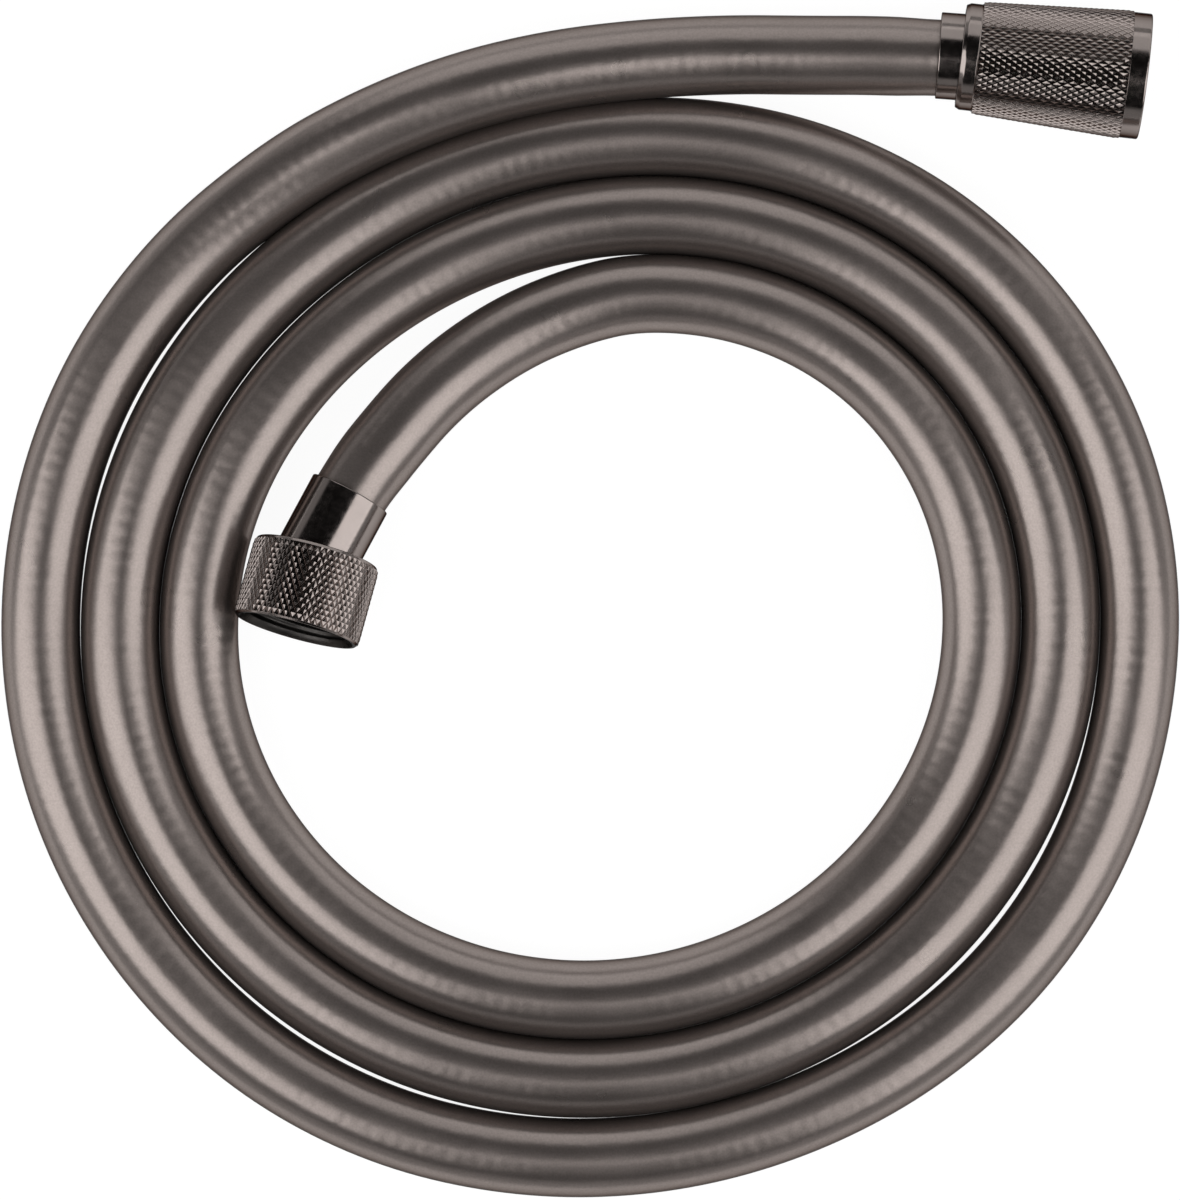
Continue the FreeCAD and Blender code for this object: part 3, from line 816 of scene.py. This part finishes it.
def add_wall_end():
    sleeve = turned(
        "wall_sleeve_shell",
        sleeve_corners(length=15.75, radius=7.6, mouth_rounding=0.35, front_rounding=0.3),
        place_at(WALL_MOUTH, WALL_HOSE_AXIS),
        PLATED,
    )
    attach(sleeve, "hose")
    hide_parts("wall_sleeve")

    place = place_at(WALL_NUT_REAR, WALL_NUT_AXIS)
    nut = Nut(
        place,
        starts=62,
        rows=14,
        knurl_from=WALL_KNURL_FROM * MM,
        knurl_to=WALL_KNURL_TO * MM,
        radius_at=lambda along: WALL_NUT_RADIUS * MM,
    )
    piece = add_nut(
        "wall_nut_knurled",
        nut,
        mouth=[
            (WALL_KNURL_TO, 11.45, 0),
            (14.4, 11.4, 0.05),
            (WALL_NUT_LENGTH, 11.2, 0.1),
            (WALL_NUT_LENGTH, 10.7, 0.1),
            (WALL_THREAD_TO, THREAD_MINOR_RADIUS, 0),
        ],
        bore=[
            (WALL_THREAD_FROM, THREAD_MINOR_RADIUS, 0),
            (8.7, WALL_CHAMBER_RADIUS, 0.1),
            (WALL_COLLAR_THICKNESS, WALL_CHAMBER_RADIUS, 0.1),
            (WALL_COLLAR_THICKNESS, WALL_COLLAR_RADIUS, 0.1),
            (0, WALL_COLLAR_RADIUS, 0.15),
            (0, 11.25, 0.3),
            (0.55, 11.4, 0.05),
            (WALL_KNURL_FROM, 11.45, 0),
        ],
        thread=(WALL_THREAD_FROM, WALL_THREAD_TO),
    )
    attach(piece, "wall_nut")
    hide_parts("wall_nut")

    seal = turned("wall_seal_ring", seal_corners(WALL_SEAL_FROM, radius=9.6), place, RUBBER)
    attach(seal, "wall_seal")
    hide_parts("wall_seal")


add_wall_end()

# Shower end

# In plain millimetres along from the sleeve's mouth
SHOWER_KNURL_FROM = 7.2
SHOWER_KNURL_TO = 34.2
SHOWER_KNURL_REAR_RADIUS = 10.2
SHOWER_KNURL_FRONT_RADIUS = 11.65
SHOWER_NUT_REAR = 4
SHOWER_NUT_FRONT = 37.6
SHOWER_CHAMBER_RADIUS = 10.6
# The thread's place, which is plain at the minor radius here, as in the CAD model
SHOWER_THREAD_FROM = 28.6
SHOWER_THREAD_TO = 37.1
SHOWER_SHOULDER_FROM = 22.5
SHOWER_SHOULDER_TO = 24
SHOWER_SHOULDER_RADIUS = 8.25
SHOWER_SEAL_FROM = 26.2


def cone_radius(along):
    share = (along / MM - SHOWER_KNURL_FROM) / (SHOWER_KNURL_TO - SHOWER_KNURL_FROM)
    widening = SHOWER_KNURL_FRONT_RADIUS - SHOWER_KNURL_REAR_RADIUS
    return (SHOWER_KNURL_REAR_RADIUS + widening * share) * MM


def add_shower_end():
    place = place_at(SHOWER_MOUTH, SHOWER_AXIS)
    sleeve = turned(
        "shower_sleeve_shell",
        sleeve_corners(length=16, radius=7.85, mouth_rounding=0.4, front_rounding=0.2),
        place_at(SLEEVE_MOUTH, SLEEVE_AXIS),
        PLATED,
    )
    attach(sleeve, "hose")
    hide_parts("shower_sleeve")

    nut = Nut(
        place,
        starts=60,
        rows=28,
        knurl_from=SHOWER_KNURL_FROM * MM,
        knurl_to=SHOWER_KNURL_TO * MM,
        radius_at=cone_radius,
    )
    piece = add_nut(
        "shower_nut_knurled",
        nut,
        mouth=[
            (SHOWER_KNURL_TO, 11.5, 0),
            (34.25, 11.4, 0.05),
            (SHOWER_NUT_FRONT, 11.4, 0.35),
            (SHOWER_NUT_FRONT, SHOWER_CHAMBER_RADIUS, 0.15),
            (SHOWER_THREAD_TO, THREAD_MINOR_RADIUS, 0),
        ],
        bore=[
            (SHOWER_THREAD_FROM, THREAD_MINOR_RADIUS, 0),
            (28.5, SHOWER_CHAMBER_RADIUS, 0.1),
            (SHOWER_SHOULDER_TO, SHOWER_CHAMBER_RADIUS, 0.1),
            (SHOWER_SHOULDER_TO, SHOWER_SHOULDER_RADIUS, 0.1),
            (SHOWER_SHOULDER_FROM, SHOWER_SHOULDER_RADIUS, 0.1),
            (SHOWER_SHOULDER_FROM, 8.7, 0.1),
            (SHOWER_NUT_REAR, 8.6, 0.1),
            (4.05, 9.3, 0.25),
            (4.85, 9.7, 0.6),
            (6.95, 9.7, 0.1),
            (7.15, 9.9, 0.1),
            (SHOWER_KNURL_FROM, 10, 0),
        ],
    )
    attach(piece, "shower_nut")
    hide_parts("shower_nut")

    seal = turned("shower_seal_ring", seal_corners(SHOWER_SEAL_FROM, radius=9.1), place, RUBBER)
    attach(seal, "swivel_stem")
    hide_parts("shower_seal")


add_shower_end()

# Pieces that keep the shape of the CAD model

FINISHES = {
    "wall_crimp_ring": CRIMP_STEEL,
    "shower_crimp_ring": CRIMP_STEEL,
    "wall_insert": BRASS,
    "shower_insert": BRASS,
    "swivel_stem": BRASS,
    "swivel_o_ring_rear": RUBBER,
    "swivel_o_ring_front": RUBBER,
    "swivel_snap_ring": SPRING_STEEL,
    "swivel_washer": ACETAL,
    "shower_slip_ring": ACETAL,
}

for node, material in FINISHES.items():
    for material_slot in frame["nodes"][node].material_slots:
        material_slot.material = material

# Floor

FLOOR_SIDE = 3.0
# Keeps the floor clear of what rests on it
FLOOR_DROP = 0.1 * MM
FLOOR_GLOW = 0.93
FLOOR_SHADE = 0.12
FLOOR_GREY = 0.8


def seen_directly(tree):
    """1 for rays from the camera, a mirror or glass, and 0 for all others."""
    path = tree.nodes.new("ShaderNodeLightPath")
    seen = calculate(
        tree, "MAXIMUM", path.outputs["Is Camera Ray"], path.outputs["Is Glossy Ray"]
    )
    return calculate(tree, "MAXIMUM", seen, path.outputs["Is Transmission Ray"])


def floor_material():
    """White where it is seen, with the object's soft shadow, and plain pale grey to other light."""
    material = bpy.data.materials.new("floor")
    material.use_nodes = True
    tree = material.node_tree
    tree.nodes.clear()
    output = tree.nodes.new("ShaderNodeOutputMaterial")
    plain = tree.nodes.new("ShaderNodeBsdfDiffuse")
    plain.inputs["Color"].default_value = (FLOOR_GREY, FLOOR_GREY, FLOOR_GREY, 1)
    shade = tree.nodes.new("ShaderNodeBsdfDiffuse")
    shade.inputs["Color"].default_value = (FLOOR_SHADE, FLOOR_SHADE, FLOOR_SHADE, 1)
    glow = tree.nodes.new("ShaderNodeEmission")
    glow.inputs["Strength"].default_value = FLOOR_GLOW
    white = tree.nodes.new("ShaderNodeAddShader")
    tree.links.new(shade.outputs["BSDF"], white.inputs[0])
    tree.links.new(glow.outputs["Emission"], white.inputs[1])
    mix = tree.nodes.new("ShaderNodeMixShader")
    tree.links.new(seen_directly(tree), mix.inputs["Fac"])
    tree.links.new(plain.outputs["BSDF"], mix.inputs[1])
    tree.links.new(white.outputs["Shader"], mix.inputs[2])
    tree.links.new(mix.outputs["Shader"], output.inputs["Surface"])
    return material


def add_floor():
    half = FLOOR_SIDE / 2
    corners = [(-half, -half, 0), (half, -half, 0), (half, half, 0), (-half, half, 0)]
    mesh = bpy.data.meshes.new("floor")
    mesh.from_pydata(corners, [], [(0, 1, 2, 3)])
    mesh.materials.append(floor_material())
    floor = bpy.data.objects.new("floor", mesh)
    floor.location.z = -FLOOR_DROP
    bpy.context.scene.collection.objects.link(floor)


add_floor()

# World

WORLD_AMBIENT = 0.15
WORLD_CEILING = 0.01
HORIZON_GLOW = 0.45
# The horizon's glow fades into the ceiling between these heights of a direction, from 0 to 1 upright
HORIZON_FROM = 0.3
HORIZON_TO = 0.38


def set_world():
    """White to the camera, dark over a pale horizon to mirrors, and a soft grey to the rest."""
    world = bpy.data.worlds.new("studio")
    world.use_nodes = True
    tree = world.node_tree
    ambient = tree.nodes["Background"]
    ambient.inputs["Strength"].default_value = WORLD_AMBIENT
    ambient.inputs["Color"].default_value = (1, 1, 1, 1)
    mirrored = tree.nodes.new("ShaderNodeBackground")
    place = tree.nodes.new("ShaderNodeTexCoord")
    split = tree.nodes.new("ShaderNodeSeparateXYZ")
    tree.links.new(place.outputs["Generated"], split.inputs["Vector"])
    height = split.outputs["Z"]
    glow = spread(tree, height, HORIZON_GLOW, WORLD_CEILING, HORIZON_FROM, HORIZON_TO)
    tree.links.new(glow, mirrored.inputs["Strength"])
    white = tree.nodes.new("ShaderNodeBackground")
    white.inputs["Color"].default_value = (1, 1, 1, 1)
    path = tree.nodes.new("ShaderNodeLightPath")
    reflected = calculate(
        tree, "MAXIMUM", path.outputs["Is Glossy Ray"], path.outputs["Is Transmission Ray"]
    )
    unseen = tree.nodes.new("ShaderNodeMixShader")
    tree.links.new(reflected, unseen.inputs["Fac"])
    tree.links.new(ambient.outputs["Background"], unseen.inputs[1])
    tree.links.new(mirrored.outputs["Background"], unseen.inputs[2])
    mix = tree.nodes.new("ShaderNodeMixShader")
    tree.links.new(path.outputs["Is Camera Ray"], mix.inputs["Fac"])
    tree.links.new(unseen.outputs["Shader"], mix.inputs[1])
    tree.links.new(white.outputs["Background"], mix.inputs[2])
    tree.links.new(mix.outputs["Shader"], tree.nodes["World Output"].inputs["Surface"])
    bpy.context.scene.world = world


set_world()

# Lights


def add_softbox(name, azimuth, elevation, distance, width, height, radiance, roll=0):
    """A light aimed at the coil, whose width runs level before it is rolled by some degrees."""
    data = bpy.data.lights.new(name, "AREA")
    data.shape = "RECTANGLE"
    data.size = width
    data.size_y = height
    data.energy = radiance * width * height * math.pi
    light = bpy.data.objects.new(name, data)
    towards = direction(azimuth, elevation)
    light.location = towards * distance
    aim = towards.to_track_quat("Z", "Y") @ Quaternion((0, 0, 1), math.radians(roll))
    light.rotation_euler = aim.to_euler()
    bpy.context.scene.collection.objects.link(light)


add_softbox(
    "right_softbox",
    azimuth=-22,
    elevation=46.5,
    distance=1.2,
    width=1.25,
    height=1.2,
    radiance=2.05,
    roll=-32,
)
add_softbox(
    "left_softbox",
    azimuth=198,
    elevation=46,
    distance=1.2,
    width=1.5,
    height=0.95,
    radiance=2.2,
    roll=46,
)
add_softbox(
    "back_softbox",
    azimuth=78,
    elevation=29,
    distance=1.3,
    width=2.2,
    height=0.85,
    radiance=0.9,
)

bpy.context.scene.view_settings.view_transform = "Standard"
